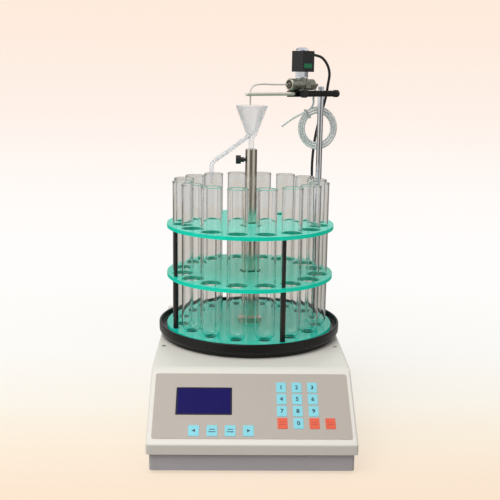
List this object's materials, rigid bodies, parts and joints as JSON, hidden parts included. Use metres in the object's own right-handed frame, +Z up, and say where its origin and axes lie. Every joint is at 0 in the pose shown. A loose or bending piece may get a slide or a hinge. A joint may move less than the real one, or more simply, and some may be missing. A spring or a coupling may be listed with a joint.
{
  "type": "fraction collector",
  "caption": "Laboratory fraction collector: glass tubes stand in a ring in a clear rack, and a turning funnel with a side arm drips into them from a valve held on a post.",
  "frame": {"origin": "on the bench, under the middle of the machine without its free cable and hose", "axes": "+Z up, -Y towards the user at the keypad, +X to the right of the user; +Z is the longest extent"},
  "size_m": [0.255, 0.4129, 0.4912],
  "materials": {
    "cream_paint": "satin, light cream",
    "grey_paint": "satin grey",
    "rubber": "matt",
    "screw_steel": "plated",
    "membrane": "printed film, fine grain",
    "display": "clear window over dark blue",
    "black_plastic": "moulded",
    "dark_steel": "varnished",
    "board": "solder mask",
    "bracket": "milled",
    "shaft_steel": "ground",
    "brass": "machined",
    "bronze": "sintered",
    "gear_plastic": "moulded",
    "black_tray": "moulded, slight shine",
    "teal_acrylic": "clear tinted sheet, bright edges",
    "black_posts": "black",
    "flange_metal": "turned",
    "glass": "clear",
    "rod_steel": "bright",
    "black_bar": "black anodised look",
    "cream_plastic": "machined",
    "valve_metal": "dull nickel plate",
    "bright_chrome": "polished",
    "coil_moulding": "moulded",
    "cable_sheath": "satin",
    "clear_tube": "clear tubing"
  },
  "bodies": {
    "base": {"base_pan": "grey_paint", "rubber_feet": "rubber", "top_housing": "cream_paint", "housing_screws": "screw_steel", "keypad_overlay": "membrane", "lcd_display": "display", "power_inlet": "black_plastic", "switch_frame": "black_plastic", "cable_gland": "black_plastic", "transformer": "dark_steel", "control_board": "board", "motor_bracket": "bracket", "drive_motor": "dark_steel", "shaft_bearing": "bronze", "drip_tray": "black_tray", "bottom_disc": "teal_acrylic", "middle_disc": "teal_acrylic", "top_disc": "teal_acrylic", "rack_posts": "black_posts", "post_bearing": "flange_metal", "support_rod": "rod_steel", "rod_nuts": "screw_steel", "valve_cable": "cable_sheath"},
    "distributor": {"center_post": "shaft_steel", "drive_gear": "gear_plastic"},
    "funnel_body": {"funnel": "glass"},
    "funnel_screw_body": {"funnel_screw": "black_plastic"},
    "motor_rotor": {"motor_shaft": "shaft_steel", "motor_pinion": "brass"},
    "valve_arm": {"clamp_bar": "black_bar", "arm_rod": "cream_plastic", "valve_body": "valve_metal", "valve_bonnet": "bright_chrome", "solenoid_coil": "coil_moulding", "coil_nut": "bright_chrome", "outlet_tube": "clear_tube", "hose_lead": "clear_tube", "hose_coil": "clear_tube", "hose_end": "clear_tube", "hose_tie": "clear_tube"},
    "rod_clamp_screw": {"rod_clamp_knob": "black_plastic"},
    "arm_clamp_screw": {"arm_clamp_knob": "black_plastic"},
    "rocker": {"power_rocker": "black_plastic"},
    "tube_01_body": {"tube_01": "glass"},
    "tube_02_body": {"tube_02": "glass"},
    "tube_03_body": {"tube_03": "glass"},
    "tube_04_body": {"tube_04": "glass"},
    "tube_05_body": {"tube_05": "glass"},
    "tube_06_body": {"tube_06": "glass"},
    "tube_07_body": {"tube_07": "glass"},
    "tube_08_body": {"tube_08": "glass"},
    "tube_09_body": {"tube_09": "glass"},
    "tube_10_body": {"tube_10": "glass"},
    "tube_11_body": {"tube_11": "glass"},
    "tube_12_body": {"tube_12": "glass"},
    "tube_13_body": {"tube_13": "glass"},
    "tube_14_body": {"tube_14": "glass"},
    "tube_15_body": {"tube_15": "glass"},
    "tube_16_body": {"tube_16": "glass"}
  },
  "joints": [
    {"name": "distributor_turn", "type": "hinge", "parent": "base", "child": "distributor", "pos_m": [-0.00253, 0.048, 0.09], "axis": [0, 0, 1], "continuous": true},
    {"name": "motor_turn", "type": "hinge", "parent": "base", "child": "motor_rotor", "pos_m": [-0.06253, 0.048, 0.068], "axis": [0, 0, 1], "continuous": true},
    {"name": "funnel_lift", "type": "slide", "parent": "distributor", "child": "funnel_body", "axis": [0, 0, 1], "range_m": [0, 0.0115]},
    {"name": "funnel_screw_turn", "type": "hinge", "parent": "distributor", "child": "funnel_screw_body", "pos_m": [-0.01953, 0.048, 0.3404], "axis": [-1, 0, 0], "range_deg": [-360, 0]},
    {"name": "arm_swing", "type": "hinge", "parent": "base", "child": "valve_arm", "pos_m": [0.09797, 0.13203, 0.428], "axis": [0, 0, -1], "range_deg": [0, 100], "deforming": ["valve_cable"]},
    {"name": "rod_clamp_turn", "type": "hinge", "parent": "valve_arm", "child": "rod_clamp_screw", "pos_m": [0.12098, 0.15127, 0.428], "axis": [0.7672, 0.6414, 0], "range_deg": [0, 360]},
    {"name": "arm_clamp_turn", "type": "hinge", "parent": "valve_arm", "child": "arm_clamp_screw", "pos_m": [0.06986, 0.09549, 0.428], "axis": [0.6414, -0.7672, 0], "range_deg": [0, 360]},
    {"name": "power_switch", "type": "hinge", "parent": "base", "child": "rocker", "pos_m": [-0.02753, 0.187, 0.062], "axis": [1, 0, 0], "range_deg": [0, 14]},
    {"name": "tube_01_lift", "type": "slide", "parent": "base", "child": "tube_01_body", "axis": [0, 0, 1], "range_m": [0, 0.145]},
    {"name": "tube_02_lift", "type": "slide", "parent": "base", "child": "tube_02_body", "axis": [0, 0, 1], "range_m": [0, 0.145]},
    {"name": "tube_03_lift", "type": "slide", "parent": "base", "child": "tube_03_body", "axis": [0, 0, 1], "range_m": [0, 0.145]},
    {"name": "tube_04_lift", "type": "slide", "parent": "base", "child": "tube_04_body", "axis": [0, 0, 1], "range_m": [0, 0.145]},
    {"name": "tube_05_lift", "type": "slide", "parent": "base", "child": "tube_05_body", "axis": [0, 0, 1], "range_m": [0, 0.145]},
    {"name": "tube_06_lift", "type": "slide", "parent": "base", "child": "tube_06_body", "axis": [0, 0, 1], "range_m": [0, 0.1]},
    {"name": "tube_07_lift", "type": "slide", "parent": "base", "child": "tube_07_body", "axis": [0, 0, -1], "range_m": [-0.145, 0]},
    {"name": "tube_08_lift", "type": "slide", "parent": "base", "child": "tube_08_body", "axis": [0, 0, 1], "range_m": [0, 0.145]},
    {"name": "tube_09_lift", "type": "slide", "parent": "base", "child": "tube_09_body", "axis": [0, 0, 1], "range_m": [0, 0.145]},
    {"name": "tube_10_lift", "type": "slide", "parent": "base", "child": "tube_10_body", "axis": [0, 0, 1], "range_m": [0, 0.145]},
    {"name": "tube_11_lift", "type": "slide", "parent": "base", "child": "tube_11_body", "axis": [0, 0, 1], "range_m": [0, 0.145]},
    {"name": "tube_12_lift", "type": "slide", "parent": "base", "child": "tube_12_body", "axis": [0, 0, 1], "range_m": [0, 0.145]},
    {"name": "tube_13_lift", "type": "slide", "parent": "base", "child": "tube_13_body", "axis": [0, 0, 1], "range_m": [0, 0.145]},
    {"name": "tube_14_lift", "type": "slide", "parent": "base", "child": "tube_14_body", "axis": [0, 0, 1], "range_m": [0, 0.145]},
    {"name": "tube_15_lift", "type": "slide", "parent": "base", "child": "tube_15_body", "axis": [0, 0, 1], "range_m": [0, 0.028]},
    {"name": "tube_16_lift", "type": "slide", "parent": "base", "child": "tube_16_body", "axis": [0, 0, 1], "range_m": [0, 0.145]}
  ],
  "couplings": [
    {"joint": "motor_turn", "follows": "distributor_turn", "ratio": -3}
  ]
}
